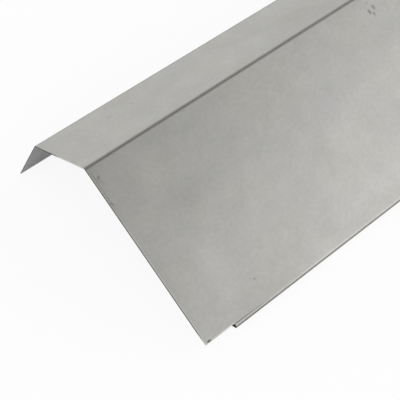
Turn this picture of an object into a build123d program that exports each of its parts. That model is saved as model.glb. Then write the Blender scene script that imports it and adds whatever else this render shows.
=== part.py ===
from build123d import *
from math import asin, atan2, cos, hypot, radians, sin, tan
import os

# Fascia cap: one length of galvanised sheet steel, folded to a lip, a sloping
# top flange and a long face, with the foot of the face turned back under it.
# Sizes are in millimetres and angles in degrees. The section is walked from the
# raw edge of the lip, over the top flange and down the face, to the return.

# Strip
LENGTH = 2000.0  # one stock length
SHEET = 0.6  # thickness of the galvanised sheet
BEND_INSIDE_RADIUS = 1.4  # left inside every bend by the folding machine

# Legs, as outside sizes. The lip and the top flange are taken to the sharp
# corners that the bends round off, and the face ends at the nose of its fold.
LIP = 64.0  # back leg, standing on its raw edge
TOP_FLANGE = 69.0
FACE = 150.0
RETURN = 8.0  # turned back under the foot of the face, from the nose to its raw edge

# How far each bend turns the sheet
LIP_TURN = 37.5
RIDGE_TURN = 56.0
RETURN_TURN = 125.0

# Near end, where the next length laps on: the fold and its return are cut away
LAP_NOTCH = 27.0  # along the length
NOTCH_DEPTH = 3.5  # up the face, from the nose of the fold

# Radii of the middle and the outer skin of the sheet around a bend
BEND_MIDDLE_RADIUS = BEND_INSIDE_RADIUS + SHEET / 2
BEND_OUTSIDE_RADIUS = BEND_INSIDE_RADIUS + SHEET


def setback(turn):
    """Length that a bend takes off a leg, from its sharp outside corner to the flat."""
    return BEND_OUTSIDE_RADIUS * tan(radians(turn / 2))


def onward(leg, length):
    """Point that lies a length further on, straight ahead from the end of a leg or bend."""
    return leg @ 1 + (leg % 1) * length


# Flat stretch of each leg, between its bends
LIP_FLAT = LIP - setback(LIP_TURN)
TOP_FLAT = TOP_FLANGE - setback(LIP_TURN) - setback(RIDGE_TURN)
FACE_FLAT = FACE - setback(RIDGE_TURN) - NOTCH_DEPTH
FOOT_FLAT = NOTCH_DEPTH - BEND_OUTSIDE_RADIUS
RETURN_FLAT = RETURN - BEND_OUTSIDE_RADIUS

# Line along the middle of the sheet, drawn with the lip lying along X. Every
# bend turns right, so the outer skin is on the left all the way.
with BuildLine() as legs:
    lip = Line((0, 0), (LIP_FLAT, 0))
    lip_bend = JernArc(lip @ 1, lip % 1, BEND_MIDDLE_RADIUS, -LIP_TURN)
    top = Line(lip_bend @ 1, onward(lip_bend, TOP_FLAT))
    ridge = JernArc(top @ 1, top % 1, BEND_MIDDLE_RADIUS, -RIDGE_TURN)
    face = Line(ridge @ 1, onward(ridge, FACE_FLAT))

with BuildLine() as foot_fold:
    foot = Line(face @ 1, onward(face, FOOT_FLAT))
    fold = JernArc(foot @ 1, foot % 1, BEND_MIDDLE_RADIUS, -RETURN_TURN)
    back = Line(fold @ 1, onward(fold, RETURN_FLAT))

# Unheld, the cap stands on the raw edge of its lip and on whichever is lower at
# its foot: the raw edge of the return or the underside of the fold.
lip_corner = Vector(0, -SHEET / 2)
return_corner = back @ 1 + (back % 1).rotate(Axis.Z, 90) * SHEET / 2
to_return = return_corner - lip_corner
to_fold = fold.arc_center - lip_corner
return_angle = atan2(to_return.Y, to_return.X)
fold_angle = atan2(to_fold.Y, to_fold.X) - asin(BEND_OUTSIDE_RADIUS / hypot(to_fold.X, to_fold.Y))
lip_slope = -min(return_angle, fold_angle)

# The section's own plane: the lip rises at its slope, the lowest points lie on
# the floor, and the middle of the overall width lies over the origin.
rise, run = sin(lip_slope), cos(lip_slope)
lip_reach = -SHEET / 2 * rise
fold_reach = fold.arc_center.X * run - fold.arc_center.Y * rise + BEND_OUTSIDE_RADIUS
section_plane = Plane(
    origin=(-(lip_reach + fold_reach) / 2, 0, SHEET / 2 * run), x_dir=(run, 0, rise), z_dir=(0, -1, 0)
)

os.makedirs("parts", exist_ok=True)

with BuildPart() as fascia_cap:
    # Lip, top flange and face, over the whole length
    with BuildSketch(section_plane):
        add(legs.line)
        trace(line_width=SHEET)
    extrude(amount=LENGTH / 2, both=True)

    # Foot and return, from the end of the lap notch to the far end
    with BuildSketch(section_plane.offset(LENGTH / 2 - LAP_NOTCH)):
        add(foot_fold.line)
        trace(line_width=SHEET)
    extrude(amount=LAP_NOTCH - LENGTH)

fascia_cap.part.label = "fascia_cap"
export_step(fascia_cap.part, "parts/fascia_cap.step")
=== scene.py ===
"""Looks of a folded fascia cap: one length of galvanised sheet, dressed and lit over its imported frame."""

import logging
import math
from dataclasses import dataclass, field
from enum import Enum

import bmesh
import bpy
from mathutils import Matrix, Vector, noise


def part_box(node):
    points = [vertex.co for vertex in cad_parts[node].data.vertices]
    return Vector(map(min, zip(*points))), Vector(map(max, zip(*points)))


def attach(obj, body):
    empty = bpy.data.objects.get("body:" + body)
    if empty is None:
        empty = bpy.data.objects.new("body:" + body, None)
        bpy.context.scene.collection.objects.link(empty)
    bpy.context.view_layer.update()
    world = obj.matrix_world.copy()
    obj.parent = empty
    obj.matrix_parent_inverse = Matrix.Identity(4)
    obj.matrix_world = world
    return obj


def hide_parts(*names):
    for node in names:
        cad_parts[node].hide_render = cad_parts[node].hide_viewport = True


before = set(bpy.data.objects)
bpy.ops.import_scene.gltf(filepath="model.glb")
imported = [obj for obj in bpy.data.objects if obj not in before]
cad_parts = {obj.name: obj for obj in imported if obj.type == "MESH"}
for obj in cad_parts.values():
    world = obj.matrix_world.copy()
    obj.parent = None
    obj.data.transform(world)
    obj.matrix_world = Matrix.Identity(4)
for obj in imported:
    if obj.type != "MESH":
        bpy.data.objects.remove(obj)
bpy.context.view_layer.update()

LOG = logging.getLogger("fascia_cap")

MM = 0.001
NODE = "fascia_cap"
BODY = "root"
PIECE = "folded_cap"

# Names of the attributes that the sheet's mesh carries for its finish
ACROSS = "across"  # metres over the flat strip, from the raw edge of the lip
BEND = "bend"  # 1 where the sheet is bent, 0 on its flats: how strongly the bends get their painted shade and their dulling
EDGE = "edge"  # 1 on a raw edge, 0 from a little way in
INNER = "inner"  # 1 on the skin that faces the building
CUT = "cut"  # 1 on the sheared thickness of the sheet

INNER_SKIN = 0.5  # step in the strip's place from its outer skin to its inner one
SKIN_REACH = 0.1  # how far a mark reaches from its own skin, well short of the other one
FACE_START = 133.8  # mm across the strip, from the raw edge of the lip to the flat of the face

NOISE_SPAN = (0.3, 0.7)  # nearly all values of a noise texture lie between these
NOISE_MIDDLE = (0.5, 0.5, 0.5)

# Shares of a mark's radius at which it starts to fade, and at which it has gone
PATCH_FADE = (0.0, 1.0)
LINE_FADE = (0.2, 1.0)
SCUFF_FADE = (0.35, 1.15)


class Leg(Enum):
    """Flats of the strip, in the order in which they are folded."""

    LIP = "lip"
    TOP = "top flange"
    FACE = "face"
    FOOT = "foot"
    RETURN = "return"


def linear(colour: str) -> tuple[float, float, float, float]:
    """Turns an sRGB colour to the linear values that Blender's sockets take.

    Args:
        colour: six hex digits after a hash, such as "#b0b0ab".

    Returns:
        Linear red, green and blue, and an alpha of 1.
    """
    channels = [int(colour[start : start + 2], 16) / 255 for start in (1, 3, 5)]
    red, green, blue = (c / 12.92 if c <= 0.04045 else ((c + 0.055) / 1.055) ** 2.4 for c in channels)
    return red, green, blue, 1.0


def add_node(
    tree: bpy.types.NodeTree,
    kind: str,
    inputs: dict[str | int, object] | None = None,
    **settings: object,
) -> bpy.types.Node:
    """Adds one node to a tree, with its settings, values and links.

    Args:
        tree: the tree that gets the node.
        kind: type of the node, without its "ShaderNode".
        inputs: for each socket, by name or number, a value to set or an output to link from.
        settings: properties of the node itself.

    Returns:
        The new node.
    """
    node = tree.nodes.new("ShaderNode" + kind)
    for name, value in settings.items():
        setattr(node, name, value)
    for name, value in (inputs or {}).items():
        if isinstance(value, bpy.types.NodeSocket):
            tree.links.new(value, node.inputs[name])
        else:
            node.inputs[name].default_value = value
    return node


@dataclass(frozen=True)
class Bend:
    """A fold of the sheet, round a bar of the folding machine."""

    turn: float  # degrees
    steps: int  # chords along the bend
    shade_and_dulling_from: float = 0.0  # share of the bend after which it gets its painted shade and its dulling
    shade_and_dulling: float = 1.0  # how strong the painted shade and the dulling are there
    outside_radius: float = 2.0 * MM

    @property
    def setback(self) -> float:
        """Length from the sharp outside corner to the start of the bend."""
        return self.outside_radius * math.tan(math.radians(self.turn / 2))


@dataclass(frozen=True)
class CapSection:
    """Section of the cap, walked along its outer skin from the raw edge of the lip to that of the return."""

    lip: float = 64.0 * MM
    top: float = 69.0 * MM
    face: float = 150.0 * MM
    back: float = 8.0 * MM
    sheet: float = 0.6 * MM
    slope: float = 61.423  # degrees that the lip leans up from the floor
    lip_bend: Bend = Bend(turn=37.5, steps=6)
    ridge_bend: Bend = Bend(turn=56.0, steps=10, shade_and_dulling=0.84)
    foot_bend: Bend = Bend(turn=125.0, steps=18, shade_and_dulling_from=0.10)
    notch_depth: float = 3.5 * MM

    def walk(self) -> list[tuple[Leg, float] | Bend]:
        """Lists the strip's flats, with their lengths, and the bends between them.

        Returns:
            Flats and bends in order, where the face ends at the line to which the lap notch is cut.
        """
        lip, ridge = self.lip_bend, self.ridge_bend
        nose = self.foot_bend.outside_radius
        return [
            (Leg.LIP, self.lip - lip.setback),
            lip,
            (Leg.TOP, self.top - lip.setback - ridge.setback),
            ridge,
            (Leg.FACE, self.face - ridge.setback - self.notch_depth),
            (Leg.FOOT, self.notch_depth - nose),
            self.foot_bend,
            (Leg.RETURN, self.back - nose),
        ]


@dataclass(frozen=True)
class Mark:
    """A scuff, spot, patch or line in the zinc, among them lines of painted shade and painted highlight: an
    oval on the flat strip, in millimetres.
    """

    name: str
    along: float  # from the near end
    across: float  # from the raw edge of the lip
    length: float
    width: float
    angle: float  # degrees that it is turned from the length of the strip
    depth: float  # how much it darkens the zinc, or brightens it where it is below 0
    skin: float = 0.0  # on which skin it lies, as the strip's place says
    spares_unshaded_cuts: bool = False  # it leaves out the stretches where the cut thickness is bare steel, without painted shade


@dataclass(frozen=True)
class GalvanisedSheet:
    """Hot-dip galvanised steel sheet with its spangle rolled out, gone matt in the yard.

    The eye sees a plain pale grey metal with a broad soft sheen, faint warm and cool clouds in its zinc, fine
    lines along the rolling, and duller zinc where the folding machine has stretched it. Painted shade darkens
    the bends, the inner skin, the inside of the foot's fold and the cut thickness, and painted highlights run
    beside the fold and across the near end.
    """

    name: str = "hot-dip galvanised steel, skin-passed"

    # Colours
    zinc: str = "#b2b1ad"
    warm_cloud: str = "#b4b3ab"
    cool_cloud: str = "#b0b0b2"
    shaded_inner_zinc: str = "#a8a7a9"  # skin that faces the building, drawn darker as painted shade
    worn_zinc: str = "#82817c"
    # painted shade: the bends are drawn darker, standing in for the dark band that their turning surface
    # shows
    bend_painted_shade: str = "#8a8984"
    # painted shade: the cut thickness drawn near black
    cut_edge_painted_shade: str = "#262422"
    edge_burnish: str = "#cbcac5"
    unshaded_cut_edge: str = "#dcdbd6"  # pale bare steel, on the stretches of cut thickness that are not painted dark as shade

    # Sheen
    metallic: float = 1.0
    roughness: float = 0.40
    roughness_swing: float = 0.04  # how far it varies over the flats
    worn_dulling: float = 0.15  # what wear adds to it
    bent_dulling: float = 0.05  # what bending adds to it

    # Patterns: their sizes, and how far they swing the zinc's level to both sides of 1
    cloud: float = 60.0 * MM
    cloud_width: float = 0.7  # of its length
    cloud_share: float = 0.33  # of the clouds' colour in the zinc's
    sheen_width: float = 0.5  # of a cloud's length, for the patches of the sheen
    mottle: float = 16.0 * MM
    mottle_swing: float = 0.032
    rolling_line: float = 1.1 * MM  # really about 0.1 mm, and drawn as coarse as it needs to show
    rolling_run: float = 45.0  # times as long as it is wide
    rolling_swing: float = 0.006
    grain: float = 1.6 * MM  # really about 0.2 mm, and drawn as coarse as it needs to show
    grain_swing: float = 0.038

    # Patches of the bends' painted shade and dulling and of the rubbed edges: their size and how far they
    # cover; and the stretches of cut thickness that are left without painted shade
    bend_patch: tuple[float, float] = (6.0 * MM, 1.5 * MM)
    bend_cover: tuple[float, float] = (0.75, 1.0)
    rub_patch: float = 24.0 * MM
    rub_cover: tuple[float, float] = (0.1, 0.9)
    # stretches across the strip where the cut thickness shows bare steel instead of painted shade
    unshaded_cuts: tuple[tuple[float, float], ...] = (
        (100.0 * MM, 132.8 * MM),  # across the strip, on the flange up to the ridge
        (276.0 * MM, 279.8 * MM),  # on the face, down to the notch line
    )
    cut_shade_run_in: float = 8.0 * MM  # over which the painted shade on the cut thickness gives way to bare steel

    # Relief: the grain's height, and the heights of the rest as shares of it
    relief: float = 0.004 * MM
    relief_strength: float = 0.5
    rolling_height: float = 0.6
    worn_height: float = -4.0

    # Marks, patches and lines, most of the lines painted shade and painted highlight, and how far noise
    # shifts their outlines
    patch_wander: float = 24.0 * MM
    mark_wander: float = 0.9 * MM
    marks: tuple[Mark, ...] = ()
    patches: tuple[Mark, ...] = ()
    # lines of painted shade and painted highlight, and the dark core of the nick
    lines: tuple[Mark, ...] = ()

    def material(self, start: float) -> bpy.types.Material:
        """Builds the material.

        Args:
            start: place of the near end along Y, in metres, from which the marks are measured.

        Returns:
            The finished material.
        """
        material = bpy.data.materials.new(self.name)
        material.use_nodes = True
        tree = material.node_tree
        tree.nodes.clear()
        place = self._strip_place(tree, start)
        colour = self._zinc_colour(tree, place)
        shade = self._marks_shade(tree, place)
        marked = add_node(tree, "Mix", {0: shade, 6: colour, 7: linear(self.worn_zinc)}, data_type="RGBA")
        # this colour carries the painted shade of the bends, inner skin, fold and cut thickness, and painted
        # highlights
        finished = self._worked_zinc_and_painted_light(tree, marked.outputs[2], place)
        shader = add_node(
            tree,
            "BsdfPrincipled",
            {
                "Base Color": finished,
                "Metallic": self.metallic,
                "Roughness": self._sheen(tree, place, shade),
                "Normal": self._relief(tree, place, shade),
            },
        )
        add_node(tree, "OutputMaterial", {"Surface": shader.outputs["BSDF"]})
        return material

    def _attribute(self, tree: bpy.types.NodeTree, name: str) -> bpy.types.NodeSocket:
        """Returns the value of one of the mesh's own attributes."""
        return add_node(tree, "Attribute", attribute_name=name).outputs["Fac"]

    def _strip_place(self, tree: bpy.types.NodeTree, start: float) -> bpy.types.NodeSocket:
        """Gives each point its place on the flat strip.

        Args:
            tree: the material's tree.
            start: place of the near end along Y, in metres.

        Returns:
            A vector of the length along the strip, the width across it and a step between its two skins.
        """
        local = add_node(tree, "TexCoord").outputs["Object"]
        along = add_node(tree, "SeparateXYZ", {0: local}).outputs["Y"]
        from_end = add_node(tree, "Math", {0: along, 1: start}, operation="SUBTRACT").outputs[0]
        inner = {0: self._attribute(tree, INNER), 1: INNER_SKIN}
        skin = add_node(tree, "Math", inner, operation="MULTIPLY").outputs[0]
        place = {0: from_end, 1: self._attribute(tree, ACROSS), 2: skin}
        return add_node(tree, "CombineXYZ", place).outputs[0]

    def _cloudiness(
        self,
        tree: bpy.types.NodeTree,
        place: bpy.types.NodeSocket,
        size: tuple[float, float],
        detail: float,
        spread: tuple[float, float],
    ) -> bpy.types.NodeSocket:
        """Draws a soft random pattern on the strip.

        Args:
            tree: the material's tree.
            place: place on the flat strip.
            size: length and width of one patch, in metres.
            detail: octaves of finer pattern.
            spread: values at the pattern's dark and light ends.

        Returns:
            The pattern's value.
        """
        scale = (1 / size[0], 1 / size[1], 1 / size[1])
        patch = add_node(tree, "Mapping", {"Vector": place, "Scale": scale}).outputs[0]
        pattern = add_node(tree, "TexNoise", {"Vector": patch, "Scale": 1.0, "Detail": detail}).outputs[0]
        ends = {0: pattern, 1: NOISE_SPAN[0], 2: NOISE_SPAN[1], 3: spread[0], 4: spread[1]}
        return add_node(tree, "MapRange", ends).outputs[0]

    def _swing(
        self,
        tree: bpy.types.NodeTree,
        place: bpy.types.NodeSocket,
        size: tuple[float, float],
        detail: float,
        swing: float,
    ) -> bpy.types.NodeSocket:
        """Draws a soft random pattern about a level of 1.

        Args:
            tree: the material's tree.
            place: place on the flat strip.
            size: length and width of one patch, in metres.
            detail: octaves of finer pattern.
            swing: how far the level goes to both sides of 1.

        Returns:
            The level.
        """
        return self._cloudiness(tree, place, size, detail, (1.0 - swing, 1.0 + swing))

    def _wandering(
        self,
        tree: bpy.types.NodeTree,
        place: bpy.types.NodeSocket,
        fineness: float,
        detail: float,
        reach: float,
    ) -> bpy.types.NodeSocket:
        """Shifts the strip's place at random, so that what is drawn on it gets a ragged outline.

        Args:
            tree: the material's tree.
            place: place on the flat strip.
            fineness: bumps in the outline per metre.
            detail: octaves of finer bumps.
            reach: how far the outline is shifted, in metres.

        Returns:
            The shifted place.
        """
        bumps = add_node(tree, "TexNoise", {"Vector": place, "Scale": fineness, "Detail": detail}).outputs[1]
        centred = add_node(tree, "VectorMath", {0: bumps, 1: NOISE_MIDDLE}, operation="SUBTRACT").outputs[0]
        shift = {0: centred, 1: (reach, reach, 0.0), 2: place}
        return add_node(tree, "VectorMath", shift, operation="MULTIPLY_ADD").outputs[0]

    def _zinc_colour(self, tree: bpy.types.NodeTree, place: bpy.types.NodeSocket) -> bpy.types.NodeSocket:
        """Colours the flat zinc, with its clouds, mottle and rolling lines, and painted shade on its inner
        skin.

        Args:
            tree: the material's tree.
            place: place on the flat strip.

        Returns:
            The zinc's colour.
        """
        tint = self._cloudiness(tree, place, (self.cloud, self.cloud * self.cloud_width), 1.0, (0.0, 1.0))
        tints = {0: tint, 6: linear(self.warm_cloud), 7: linear(self.cool_cloud)}
        clouds = add_node(tree, "Mix", tints, data_type="RGBA").outputs[2]
        plain = {0: self.cloud_share, 6: linear(self.zinc), 7: clouds}
        even = add_node(tree, "Mix", plain, data_type="RGBA").outputs[2]
        # painted shade: the inner skin is drawn darker than the outer one
        inner = {0: self._attribute(tree, INNER), 6: even, 7: linear(self.shaded_inner_zinc)}
        skin = add_node(tree, "Mix", inner, data_type="RGBA").outputs[2]
        mottle = self._swing(tree, place, (self.mottle, self.mottle), 2.0, self.mottle_swing)
        grain = self._swing(tree, place, (self.grain * 2, self.grain * 2), 2.0, self.grain_swing)
        lines = self._swing(tree, place, self._rolling_size(), 1.0, self.rolling_swing)
        level = mottle
        for part in (grain, lines, self._patch_level(tree, place)):
            level = add_node(tree, "Math", {0: level, 1: part}, operation="MULTIPLY").outputs[0]
        return add_node(tree, "VectorMath", {0: skin, "Scale": level}, operation="SCALE").outputs[0]

    def _rolling_size(self) -> tuple[float, float]:
        """Returns the length and width of one rolling line."""
        return self.rolling_line * self.rolling_run, self.rolling_line

    def _patch_level(self, tree: bpy.types.NodeTree, place: bpy.types.NodeSocket) -> bpy.types.NodeSocket:
        """Lifts or lowers the zinc's level over its large soft patches.

        Args:
            tree: the material's tree.
            place: place on the flat strip.

        Returns:
            The level that the patches leave, about 1.
        """
        blown = self._wandering(tree, place, 2 / self.cloud, 2.0, self.patch_wander)
        return self._level(tree, blown, self.patches, PATCH_FADE)

    def _level(
        self,
        tree: bpy.types.NodeTree,
        place: bpy.types.NodeSocket,
        spots: tuple[Mark, ...],
        fade: tuple[float, float],
    ) -> bpy.types.NodeSocket:
        """Takes the depth of each spot from a level of 1.

        Args:
            tree: the material's tree.
            place: place on the flat strip.
            spots: what to take away.
            fade: shares of a spot's radius between which it fades.

        Returns:
            The level that is left.
        """
        level: float | bpy.types.NodeSocket = 1.0
        for spot in spots:
            shade = self._spot(tree, place, spot, fade)
            level = add_node(tree, "Math", {0: level, 1: shade}, operation="SUBTRACT").outputs[0]
        return level

    def _spot(
        self,
        tree: bpy.types.NodeTree,
        place: bpy.types.NodeSocket,
        mark: Mark,
        fade: tuple[float, float],
    ) -> bpy.types.NodeSocket:
        """Draws one oval spot, soft from its core to its rim.

        Args:
            tree: the material's tree.
            place: place on the flat strip.
            mark: the spot's place, size and depth.
            fade: shares of its radius at which it starts to fade and has gone.

        Returns:
            The spot's depth at a point, and 0 away from it.
        """
        local = add_node(
            tree,
            "Mapping",
            {
                "Vector": place,
                "Location": (mark.along * MM, mark.across * MM, mark.skin),
                "Rotation": (0.0, 0.0, math.radians(mark.angle)),
                "Scale": (mark.length / 2 * MM, mark.width / 2 * MM, SKIN_REACH),
            },
            vector_type="TEXTURE",
            label=mark.name,
        ).outputs[0]
        reach = add_node(tree, "VectorMath", {0: local}, operation="LENGTH").outputs["Value"]
        ends = {0: reach, 1: fade[0], 2: fade[1], 3: mark.depth, 4: 0.0}
        shade = add_node(tree, "MapRange", ends, interpolation_type="SMOOTHSTEP").outputs[0]
        if not mark.spares_unshaded_cuts:
            return shade
        unshaded = self._unshaded_cut(tree)
        shaded_cut = add_node(tree, "Math", {0: 1.0, 1: unshaded}, operation="SUBTRACT").outputs[0]
        return add_node(tree, "Math", {0: shade, 1: shaded_cut}, operation="MULTIPLY").outputs[0]

    def _unshaded_cut(self, tree: bpy.types.NodeTree) -> bpy.types.NodeSocket:
        """Finds the stretches across the strip where the cut thickness is bare steel, without its painted
        shade.

        Args:
            tree: the material's tree.

        Returns:
            1 on those stretches, and 0 off them.
        """
        across = self._attribute(tree, ACROSS)
        unshaded: float | bpy.types.NodeSocket = 0.0
        for first, last in self.unshaded_cuts:
            run_in = {0: across, 1: first - self.cut_shade_run_in, 2: first, 3: 0.0, 4: 1.0}
            begun = add_node(tree, "MapRange", run_in).outputs[0]
            not_past = add_node(tree, "Math", {0: across, 1: last}, operation="LESS_THAN").outputs[0]
            both = {0: begun, 1: not_past, 2: unshaded}
            unshaded = add_node(tree, "Math", both, operation="MULTIPLY_ADD").outputs[0]
        return unshaded

    def _marks_shade(self, tree: bpy.types.NodeTree, place: bpy.types.NodeSocket) -> bpy.types.NodeSocket:
        """Adds up the scuffs, spots and nicks.

        Args:
            tree: the material's tree.
            place: place on the flat strip.

        Returns:
            How far the zinc is worn at a point, from 0 to 1.
        """
        ragged = self._wandering(tree, place, 1 / self.grain, 1.0, self.mark_wander)
        total = self._spot(tree, ragged, self.marks[0], SCUFF_FADE)
        for mark in self.marks[1:]:
            shade = self._spot(tree, ragged, mark, SCUFF_FADE)
            total = add_node(tree, "Math", {0: total, 1: shade}, operation="MAXIMUM").outputs[0]
        return total

    def _worked_zinc_and_painted_light(
        self,
        tree: bpy.types.NodeTree,
        colour: bpy.types.NodeSocket,
        place: bpy.types.NodeSocket,
    ) -> bpy.types.NodeSocket:
        """Lays over the zinc what folding, shearing and snipping did to it, with the painted shade of its
        bends, cut thickness and lines, and its painted highlights.

        Args:
            tree: the material's tree.
            colour: colour of the zinc so far.
            place: place on the flat strip.

        Returns:
            The colour with its bends in painted shade, burnished edges, lines of painted shade and highlight,
            and its cut thickness in painted shade.
        """
        patchy = self._cloudiness(tree, place, self.bend_patch, 2.0, self.bend_cover)
        covered = {0: self._attribute(tree, BEND), 1: patchy}
        bend = add_node(tree, "Math", covered, operation="MULTIPLY").outputs[0]
        # painted shade on the bends, broken up a little by the patchy cover
        bends = {0: bend, 6: colour, 7: linear(self.bend_painted_shade)}
        bend_shaded = add_node(tree, "Mix", bends, data_type="RGBA").outputs[2]
        broken = self._cloudiness(tree, place, (self.rub_patch, self.rub_patch), 4.0, self.rub_cover)
        rubbed = {0: self._attribute(tree, EDGE), 1: broken}
        rub = add_node(tree, "Math", rubbed, operation="MULTIPLY").outputs[0]
        rubs = {0: rub, 6: bend_shaded, 7: linear(self.edge_burnish)}
        burnished = add_node(tree, "Mix", rubs, data_type="RGBA").outputs[2]
        # lines of painted shade and painted highlight beside the bends and the near end, and the nick's dark
        # core
        lined = {0: burnished, "Scale": self._level(tree, place, self.lines, LINE_FADE)}
        with_painted_lines = add_node(tree, "VectorMath", lined, operation="SCALE").outputs[0]
        # painted shade: the cut thickness is drawn near black, except on its bare stretches
        shears = {0: self._unshaded_cut(tree), 6: linear(self.cut_edge_painted_shade), 7: linear(self.unshaded_cut_edge)}
        sheared = add_node(tree, "Mix", shears, data_type="RGBA").outputs[2]
        thickness = {0: self._attribute(tree, CUT), 6: with_painted_lines, 7: sheared}
        return add_node(tree, "Mix", thickness, data_type="RGBA").outputs[2]

    def _sheen(
        self,
        tree: bpy.types.NodeTree,
        place: bpy.types.NodeSocket,
        shade: bpy.types.NodeSocket,
    ) -> bpy.types.NodeSocket:
        """Varies the roughness: patches on the flats, duller in scuffs and on bends.

        Args:
            tree: the material's tree.
            place: place on the flat strip.
            shade: how far the zinc is worn.

        Returns:
            The roughness.
        """
        spread = (self.roughness - self.roughness_swing, self.roughness + self.roughness_swing)
        flats = self._cloudiness(tree, place, (self.cloud, self.cloud * self.sheen_width), 4.0, spread)
        wear = {0: shade, 1: self.worn_dulling, 2: flats}
        dulled = add_node(tree, "Math", wear, operation="MULTIPLY_ADD").outputs[0]
        bends = {0: self._attribute(tree, BEND), 1: self.bent_dulling, 2: dulled}
        return add_node(tree, "Math", bends, operation="MULTIPLY_ADD").outputs[0]

    def _relief(
        self,
        tree: bpy.types.NodeTree,
        place: bpy.types.NodeSocket,
        shade: bpy.types.NodeSocket,
    ) -> bpy.types.NodeSocket:
        """Raises the fine grain of the zinc and sinks its scuffs.

        Args:
            tree: the material's tree.
            place: place on the flat strip.
            shade: how far the zinc is worn.

        Returns:
            The bumped normal.
        """
        grain = self._cloudiness(tree, place, (self.grain * 2, self.grain), 2.0, (0.0, 1.0))
        lines = self._cloudiness(tree, place, self._rolling_size(), 1.0, (0.0, 1.0))
        rolled = {0: lines, 1: self.rolling_height, 2: grain}
        height = add_node(tree, "Math", rolled, operation="MULTIPLY_ADD").outputs[0]
        finished = {0: shade, 1: self.worn_height, 2: height}
        sunk = add_node(tree, "Math", finished, operation="MULTIPLY_ADD").outputs[0]
        bump = {"Strength": self.relief_strength, "Distance": self.relief, "Height": sunk}
        return add_node(tree, "Bump", bump).outputs["Normal"]


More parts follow.
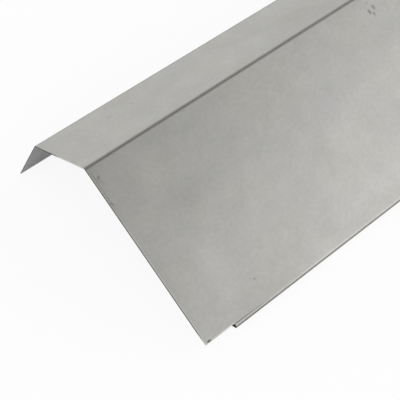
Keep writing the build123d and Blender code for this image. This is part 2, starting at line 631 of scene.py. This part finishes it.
@dataclass
class FasciaCap:
    """The cap itself: one strip of sheet, folded three times, with a lap notch at its near end."""

    section: CapSection
    length: float = 2000.0 * MM
    lap_notch: float = 27.0 * MM
    sheared_strip: float = 1.2 * MM  # border beside a raw edge that shearing has rubbed
    shear_round: float = 0.10 * MM
    shear_corner: float = 60.0  # degrees, the least turn of an edge that is rounded
    flat_cell: float = 9.0 * MM  # size of the faces on the flats
    support: float = 0.9 * MM  # narrow row of faces along each side of a bend
    hair: float = 0.01 * MM  # less than any step across the strip
    buckle: float = 0.16 * MM  # height of the swell in the flats
    swell: tuple[float, float] = (160.0 * MM, 1.4)  # its length along the strip, and its waves across a flat
    ripple: tuple[float, float] = (60.0 * MM, 3.0)  # the same for what lies over the swell
    ripple_share: float = 0.5  # of the swell's height
    wave_apart: float = 5.0  # step in the noise from the waves of one flat to those of the next
    narrow: float = 36.0 * MM  # a flat narrower than this is held still by its folds
    finish: GalvanisedSheet = field(default_factory=GalvanisedSheet)

    @property
    def near_end(self) -> float:
        """Place of the notched end along Y."""
        return -self.length / 2

    def build(self) -> bpy.types.Object:
        """Folds the sheet, cuts its notch and gives it its thickness.

        Returns:
            The cap's mesh object, at the origin.
        """
        bm = bmesh.new()
        self._fold_strip(bm)
        self._cut_lap_notch(bm)
        self._divide_flats(bm)
        self._border_raw_edges(bm)
        self._buckle_flats(bm)
        self._thicken(bm)
        self._round_sheared_edges(bm)
        self._set_down(bm)
        mesh = bpy.data.meshes.new(PIECE)
        bm.to_mesh(mesh)
        bm.free()
        mesh.shade_smooth()
        cap = bpy.data.objects.new(PIECE, mesh)
        bpy.context.scene.collection.objects.link(cap)
        return cap

    def dress(self, cap: bpy.types.Object) -> None:
        """Gives the cap its finish and puts it in the place of the plain solid.

        Args:
            cap: the cap's mesh object.
        """
        cap.data.materials.append(self.finish.material(self.near_end))
        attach(cap, BODY)
        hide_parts(NODE)

    def _fold_strip(self, bm: bmesh.types.BMesh) -> None:
        """Walks the section with straight steps and bends, then draws it out along Y.

        Args:
            bm: the empty mesh.
        """
        across = bm.verts.layers.float.new(ACROSS)
        bend = bm.verts.layers.float.new(BEND)
        for name in (EDGE, INNER):
            bm.verts.layers.float.new(name)
        bm.faces.layers.float.new(CUT)
        end = bm.verts.new((0.0, self.near_end, 0.0))
        heading = math.radians(self.section.slope)
        done = 0.0
        steps = self.section.walk()
        for step, before, after in zip(steps, [None, *steps], [*steps[1:], None]):
            if isinstance(step, Bend):
                turn = math.radians(step.turn)
                end[bend] = 0.0 if step.shade_and_dulling_from else step.shade_and_dulling
                inward = Vector((math.sin(heading), 0.0, -math.cos(heading)))
                known = set(bm.verts)
                last = bmesh.ops.spin(
                    bm,
                    geom=[end],
                    cent=end.co + inward * step.outside_radius,
                    axis=(0.0, 1.0, 0.0),
                    angle=turn,
                    steps=step.steps,
                    use_duplicate=False,
                )["geom_last"]
                chord = turn / step.steps * step.outside_radius
                reached = [v for v in bm.verts if v not in known]
                for count, vert in enumerate(reached, start=1):
                    vert[across] = done + count * chord
                    vert[bend] = step.shade_and_dulling if count >= step.shade_and_dulling_from * step.steps else 0.0
                end = next(v for v in last if isinstance(v, bmesh.types.BMVert))
                heading -= turn
                done += turn * step.outside_radius
            else:
                ahead = Vector((math.cos(heading), 0.0, math.sin(heading)))
                margins = [self.support * isinstance(side, Bend) for side in (before, after)]
                middle = step[1] - sum(margins)
                for stretch in filter(None, (margins[0], middle, margins[1])):
                    end = bmesh.ops.extrude_vert_indiv(bm, verts=[end])["verts"][0]
                    bmesh.ops.translate(bm, verts=[end], vec=ahead * stretch)
                    done += stretch
                    end[across], end[bend] = done, 0.0
        drawn = bmesh.ops.extrude_edge_only(bm, edges=bm.edges[:])["geom"]
        moved = [part for part in drawn if isinstance(part, bmesh.types.BMVert)]
        bmesh.ops.translate(bm, verts=moved, vec=(0.0, self.length, 0.0))

    def _cut_lap_notch(self, bm: bmesh.types.BMesh) -> None:
        """Cuts the foot, its fold and its return away from the near end.

        Args:
            bm: the folded strip.
        """
        line = self.near_end + self.lap_notch
        bmesh.ops.bisect_plane(
            bm,
            geom=bm.verts[:] + bm.edges[:] + bm.faces[:],
            plane_co=(0.0, line, 0.0),
            plane_no=(0.0, 1.0, 0.0),
        )
        across = bm.verts.layers.float[ACROSS]
        kept = self._across_of_foot() - self.hair
        cut = [
            face
            for face in bm.faces
            if face.calc_center_median().y < line and all(v[across] > kept for v in face.verts)
        ]
        bmesh.ops.delete(bm, geom=cut, context="FACES")

    def _across_of_foot(self) -> float:
        """Finds the line to which the notch is cut.

        Returns:
            Its place across the strip.
        """
        done = 0.0
        for step in self.section.walk():
            if isinstance(step, Bend):
                done += math.radians(step.turn) * step.outside_radius
            elif step[0] is Leg.FOOT:
                break
            else:
                done += step[1]
        return done

    def _divide_flats(self, bm: bmesh.types.BMesh) -> None:
        """Divides every edge that is longer than a cell and a half, across the strip and along it.

        Args:
            bm: the folded strip.
        """
        for axis in (0, 1):
            spans: dict[int, list[bmesh.types.BMEdge]] = {}
            for edge in bm.edges:
                run = edge.verts[1].co - edge.verts[0].co
                lengthwise = abs(run.y) > 0.5 * run.length
                if lengthwise == bool(axis) and run.length > 1.5 * self.flat_cell:
                    spans.setdefault(round(run.length / self.flat_cell) - 1, []).append(edge)
            for cuts, edges in spans.items():
                bmesh.ops.subdivide_edges(bm, edges=edges, cuts=cuts, use_grid_fill=True)

    def _border_raw_edges(self, bm: bmesh.types.BMesh) -> None:
        """Runs a narrow border along every raw edge and marks the edge itself.

        Args:
            bm: the divided strip.
        """
        bmesh.ops.recalc_face_normals(bm, faces=bm.faces[:])
        if sum((face.normal * face.calc_area() for face in bm.faces), Vector()).z < 0:
            bmesh.ops.reverse_faces(bm, faces=bm.faces[:])
        bmesh.ops.inset_region(
            bm,
            faces=bm.faces[:],
            thickness=self.sheared_strip,
            use_boundary=True,
            use_even_offset=True,
        )
        across, edge = bm.verts.layers.float[ACROSS], bm.verts.layers.float[EDGE]
        for raw in (vert for vert in bm.verts if vert.is_boundary):
            raw[edge] = 1.0
            inwards = 1.0 if raw[across] < self.section.lip else -1.0
            for vert in (side.other_vert(raw) for side in raw.link_edges):
                if not vert.is_boundary:
                    step = vert.co - raw.co
                    vert[across] = raw[across] + inwards * math.hypot(step.x, step.z)

    def _buckle_flats(self, bm: bmesh.types.BMesh) -> None:
        """Lets the flats swell and sink a little, as coil does once it is laid out.

        The bends and the edges of each flat stay still.

        Args:
            bm: the bordered strip.
        """
        across = bm.verts.layers.float[ACROSS]
        bm.normal_update()
        start = 0.0
        for number, step in enumerate(self.section.walk()):
            if isinstance(step, Bend):
                start += math.radians(step.turn) * step.outside_radius
                continue
            width = step[1]
            for vert in bm.verts:
                share = (vert[across] - start) / width
                if width < self.narrow or not 0.0 < share < 1.0:
                    continue
                height = self._wave(self.swell, vert.co.y, share, number)
                height += self.ripple_share * self._wave(self.ripple, vert.co.y, share, number + 0.5)
                vert.co += vert.normal * (self.buckle * height * math.sin(math.pi * share) ** 2)
            start += width

    def _wave(self, size: tuple[float, float], along: float, share: float, layer: float) -> float:
        """Reads the height of a random wave.

        Args:
            size: its length along the strip in metres, and its waves across a flat.
            along: place along the strip, in metres.
            share: place across the flat, from 0 to 1.
            layer: number of the flat, so that each has waves of its own.

        Returns:
            A height between -1 and 1.
        """
        length, waves = size
        return noise.noise(Vector((along / length, share * waves, layer * self.wave_apart)))

    def _thicken(self, bm: bmesh.types.BMesh) -> None:
        """Gives the sheet its thickness, inwards from its outer skin.

        Args:
            bm: the outer skin.
        """
        inner = bm.verts.layers.float[INNER]
        cut = bm.faces.layers.float[CUT]
        skin = set(bm.verts)
        bm.normal_update()
        bmesh.ops.solidify(bm, geom=bm.faces[:], thickness=self.section.sheet)
        for vert in bm.verts:
            vert[inner] = 0.0 if vert in skin else 1.0
            vert.co.y = min(max(vert.co.y, self.near_end), -self.near_end)
        for face in bm.faces:
            face[cut] = 1.0 if len({vert in skin for vert in face.verts}) == 2 else 0.0

    def _round_sheared_edges(self, bm: bmesh.types.BMesh) -> None:
        """Rounds the long corners of the sheared thickness.

        Args:
            bm: the closed sheet.
        """
        cut = bm.faces.layers.float[CUT]
        sharp = math.radians(self.shear_corner)
        corners = [edge for edge in bm.edges if edge.calc_face_angle(0.0) > sharp]
        rounds = bmesh.ops.bevel(
            bm,
            geom=corners,
            offset=self.shear_round,
            offset_type="OFFSET",
            segments=2,
            profile=0.5,
            affect="EDGES",
            material=-1,
        )["faces"]
        for face in rounds:
            face[cut] = 1.0

    def _set_down(self, bm: bmesh.types.BMesh) -> None:
        """Moves the finished sheet on to the place of the plain solid.

        Args:
            bm: the finished sheet.
        """
        low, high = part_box(NODE)
        xs = [vert.co.x for vert in bm.verts]
        zs = [vert.co.z for vert in bm.verts]
        middle = (low.x + high.x) / 2 - (min(xs) + max(xs)) / 2
        bmesh.ops.translate(bm, verts=bm.verts[:], vec=(middle, 0.0, low.z - min(zs)))


@dataclass(frozen=True)
class StudioPaper:
    """White background paper: matt, with the photograph's plain white and a soft shadow under the cap."""

    name: str = "matt white background paper"
    white: str = "#ffffff"
    seen_glow: float = 0.89  # share of plain white in what the camera sees, the rest being light and shadow
    mirrored_glow: float = 0.10  # the same in what the metal mirrors

    def material(self) -> bpy.types.Material:
        """Builds the paper's material.

        Returns:
            A matt paper that shows white to the camera and keeps its shadow.
        """
        material = bpy.data.materials.new(self.name)
        material.use_nodes = True
        tree = material.node_tree
        tree.nodes.clear()
        paper = add_node(tree, "BsdfDiffuse", {"Color": linear(self.white)}).outputs[0]
        glow = add_node(tree, "Emission", {"Color": (1.0, 1.0, 1.0, 1.0), "Strength": 1.0}).outputs[0]
        path = add_node(tree, "LightPath").outputs
        seen = add_node(tree, "Math", {0: path["Is Camera Ray"], 1: self.seen_glow}, operation="MULTIPLY")
        share = add_node(
            tree,
            "Math",
            {0: path["Is Glossy Ray"], 1: self.mirrored_glow, 2: seen.outputs[0]},
            operation="MULTIPLY_ADD",
        )
        surface = add_node(tree, "MixShader", {0: share.outputs[0], 1: paper, 2: glow}).outputs[0]
        add_node(tree, "OutputMaterial", {"Surface": surface})
        return material


@dataclass(frozen=True)
class Softbox:
    """A large soft light far off, as a glow round one direction."""

    name: str
    towards: tuple[float, float, float]
    reach: float  # degrees from its middle to where it fades out
    level: float  # what it adds at its middle to the room's light


@dataclass
class Studio:
    """Floor, light and camera round the cap."""

    floor_half: float = 4.0  # metres from its middle to its side
    camera_place: tuple[float, float, float] = (0.38946, -1.25766, 0.62142)  # metres
    camera_tilt: float = 39.7514  # degrees up from looking straight down
    camera_turn: float = 48.1344  # degrees round from looking along Y
    lens: float = 94.40  # millimetres, on a sensor of the next width
    sensor: float = 36.0
    clip: tuple[float, float] = (0.01, 50.0)  # metres
    room_level: float = 1.05  # strength of the room's light, low down and all round
    overhead_level: float = 0.265  # the same straight overhead
    darkens: tuple[float, float] = (0.54, 0.81)  # from the first to the second, where 1 is straight up
    paper: StudioPaper = field(default_factory=StudioPaper)
    softboxes: tuple[Softbox, ...] = (
        Softbox("key, beyond the foot", (0.61, 0.62, 0.49), 26.5, 1.05),
        Softbox("fill, on the camera's side", (0.45, -0.80, 0.50), 65.0, 0.90),
    )

    def build(self) -> None:
        """Sets up the floor, the camera and the world's light."""
        self._floor()
        self._camera()
        self._world()

    def _floor(self) -> None:
        """Lays the floor that the cap stands on."""
        bm = bmesh.new()
        bmesh.ops.create_grid(bm, x_segments=1, y_segments=1, size=self.floor_half)
        mesh = bpy.data.meshes.new("floor")
        bm.to_mesh(mesh)
        bm.free()
        mesh.materials.append(self.paper.material())
        floor = bpy.data.objects.new("floor", mesh)
        bpy.context.scene.collection.objects.link(floor)

    def _camera(self) -> None:
        """Places the camera at the photograph's viewing angle."""
        data = bpy.data.cameras.new("camera")
        data.sensor_width = self.sensor
        data.lens = self.lens
        data.clip_start, data.clip_end = self.clip
        camera = bpy.data.objects.new("camera", data)
        camera.location = self.camera_place
        camera.rotation_euler = (math.radians(self.camera_tilt), 0.0, math.radians(self.camera_turn))
        bpy.context.scene.collection.objects.link(camera)
        bpy.context.scene.camera = camera

    def _world(self) -> None:
        """Lights the cap from a pale room that is darker overhead, and shows the camera plain white."""
        world = bpy.data.worlds.new("studio")
        bpy.context.scene.world = world
        world.use_nodes = True
        tree = world.node_tree
        tree.nodes.clear()
        way = add_node(tree, "TexCoord").outputs["Generated"]
        height = add_node(tree, "SeparateXYZ", {0: way}).outputs["Z"]
        first, last = self.darkens
        room = {0: height, 1: first, 2: last, 3: self.room_level, 4: self.overhead_level}
        level = add_node(tree, "MapRange", room, interpolation_type="SMOOTHSTEP").outputs[0]
        for box in self.softboxes:
            middle = Vector(box.towards).normalized()
            aim = add_node(tree, "VectorMath", {0: way, 1: middle}, operation="DOT_PRODUCT").outputs["Value"]
            ends = {0: aim, 1: math.cos(math.radians(box.reach)), 2: 1.0, 3: 0.0, 4: box.level}
            glow = add_node(tree, "MapRange", ends, interpolation_type="SMOOTHSTEP", label=box.name)
            level = add_node(tree, "Math", {0: level, 1: glow.outputs[0]}, operation="ADD").outputs[0]
        seen = add_node(tree, "LightPath").outputs["Is Camera Ray"]
        shown = add_node(tree, "Mix", {0: seen, 2: level, 3: 1.0}, data_type="FLOAT").outputs[0]
        light = add_node(tree, "Background", {"Color": (1.0, 1.0, 1.0, 1.0), "Strength": shown}).outputs[0]
        add_node(tree, "OutputWorld", {"Surface": light})


def marks() -> tuple[Mark, ...]:
    """Lists the scuffs, spots and nicks that the sheet has picked up.

    Returns:
        The marks, on the flat strip.
    """
    face = FACE_START
    return (
        Mark("nick by the cut corner", 4.0, face + 144.3, 4.4, 2.0, 0.0, 1.0),
        Mark("spot above the fold", 59.1, face + 128.9, 2.6, 2.2, 0.0, 0.55),
        Mark("faint spot beside it", 56.3, face + 127.1, 2.2, 1.8, 0.0, 0.22),
        Mark("long scuff", 280.8, face + 12.9, 6.2, 3.0, 83.0, 0.64),
        Mark("middle scuff", 275.1, face + 14.6, 5.6, 3.2, 88.0, 0.72),
        Mark("short scuff", 278.0, face + 17.6, 5.0, 3.2, 88.0, 0.50),
        Mark("faint stroke above them", 277.4, face + 7.2, 4.5, 2.4, -24.0, 0.25),
        Mark("smudge by the ridge", 4.9, face + 9.2, 4.8, 2.6, 125.0, 0.80),
        Mark("fainter smudge by it", 5.0, face + 12.2, 6.0, 3.0, 60.0, 0.28),
        Mark("rubbed edge by the ridge", 2.2, face + 8.5, 18.0, 2.2, 90.0, 0.45),
        Mark("scuffed edge", 2.0, face + 25.0, 30.0, 1.6, 90.0, 0.35),
        Mark("dark end of the scuffed edge", 2.0, face + 29.2, 4.0, 2.2, 60.0, 0.8),
        Mark("smudge on the flange", 55.1, 86.9, 5.0, 2.4, 10.0, 0.3),
        Mark("second smudge on the flange", 75.6, 87.5, 4.5, 2.4, 10.0, 0.3),
        Mark("smudge by the lip bend", 60.2, 71.3, 3.0, 2.0, 0.0, 0.3),
    )


def patches() -> tuple[Mark, ...]:
    """Lists the large soft patches where the zinc is brighter or duller than round them.

    Returns:
        The patches, on the flat strip, where a depth below 0 is brighter.
    """
    face = FACE_START
    return (
        Mark("dull corner by the ridge", 1.0, face + 8.0, 26.0, 44.0, 0.0, 0.09),
        Mark("bright patch by the near edge", 9.0, face + 32.0, 32.0, 54.0, 0.0, -0.05),
        Mark("bright patch under the ridge", 39.0, face + 19.0, 50.0, 48.0, 20.0, -0.055),
        Mark("dull band beside it", 48.0, face + 54.0, 60.0, 50.0, -40.0, 0.07),
        Mark("dull near edge", 3.0, face + 92.0, 40.0, 84.0, 0.0, 0.06),
        Mark("bright patch by the corner", 40.0, face + 106.0, 56.0, 70.0, 10.0, -0.065),
        Mark("dull patch above the fold", 105.0, face + 106.0, 60.0, 40.0, 20.0, 0.02),
        Mark("dull strip along the fold", 60.0, face + 146.0, 96.0, 48.0, 0.0, 0.085),
        Mark("bright middle of the face", 200.0, face + 86.0, 90.0, 70.0, 20.0, -0.045),
        Mark("dull middle of the flange", 141.0, 84.0, 160.0, 40.0, 0.0, 0.02),
        Mark("dull far part of the flange", 246.0, 116.0, 130.0, 66.0, 10.0, 0.085),
        Mark("dull flange by the ridge", 150.0, 120.0, 80.0, 30.0, 0.0, 0.04),
    )


def painted_light_and_nick_lines() -> tuple[Mark, ...]:
    """Lists the lines of painted shade and painted highlight beside the bends and along the near end, and the
    dark core of the nick.

    Returns:
        The lines, on the flat strip, where a depth below 0 is brighter.
    """
    face = FACE_START
    middle = 1000.0  # halfway along the sheet
    whole = 40000.0  # far longer than the sheet, so that the line keeps its width
    return (
        # painted shade: widens the dark band along the ridge
        Mark("painted shade above the ridge", middle, 131.3, whole, 3.8, 0.0, 0.20),
        # painted highlight: a brighter line where the face starts to turn into the fold
        Mark("painted highlight above the fold", middle, face + 146.9, whole, 2.4, 0.0, -0.10),
        # painted shade: a dark line along the face, on from the notch
        Mark("painted shade line on from the notch", 30.0, face + 146.0, 84.0, 1.5, 1.0, 0.48),
        # painted shade: the fold's nose drawn darker near the notch
        Mark("painted shade in the fold by the notch", 34.0, face + 149.3, 130.0, 3.4, 0.0, 0.36),
        # painted shade: a dark line along the sheared near end, left out on its bare stretches
        Mark("painted shade along the sheared end", 0.0, face, 1.4, whole, 0.0, 0.66, spares_unshaded_cuts=True),
        # painted highlight: a lighter line beside it, across the near end
        Mark("painted highlight beside it", 1.2, face + 86.0, 1.1, 200.0, 0.0, -0.25),
        Mark("dark bottom of the nick", 4.0, face + 144.3, 3.6, 1.6, 0.0, 0.5),
        # painted shade: the inner skin of the fold and its return drawn darker
        Mark("painted shade inside the fold", middle, face + 152.0, whole, 13.0, 0.0, 0.5, skin=INNER_SKIN),
    )


def main() -> None:
    """Builds and dresses the cap, sets up the studio and reports both."""
    logging.basicConfig(level=logging.INFO, format="%(name)s: %(message)s")
    bpy.context.scene.view_settings.view_transform = "Standard"
    finish = GalvanisedSheet(marks=marks(), patches=patches(), lines=painted_light_and_nick_lines())
    cap = FasciaCap(section=CapSection(), finish=finish)
    piece = cap.build()
    cap.dress(piece)
    LOG.info("%s: %d faces", piece.name, len(piece.data.polygons))
    Studio().build()
    LOG.info("studio: floor, camera and light are set")


if __name__ == "__main__":
    main()
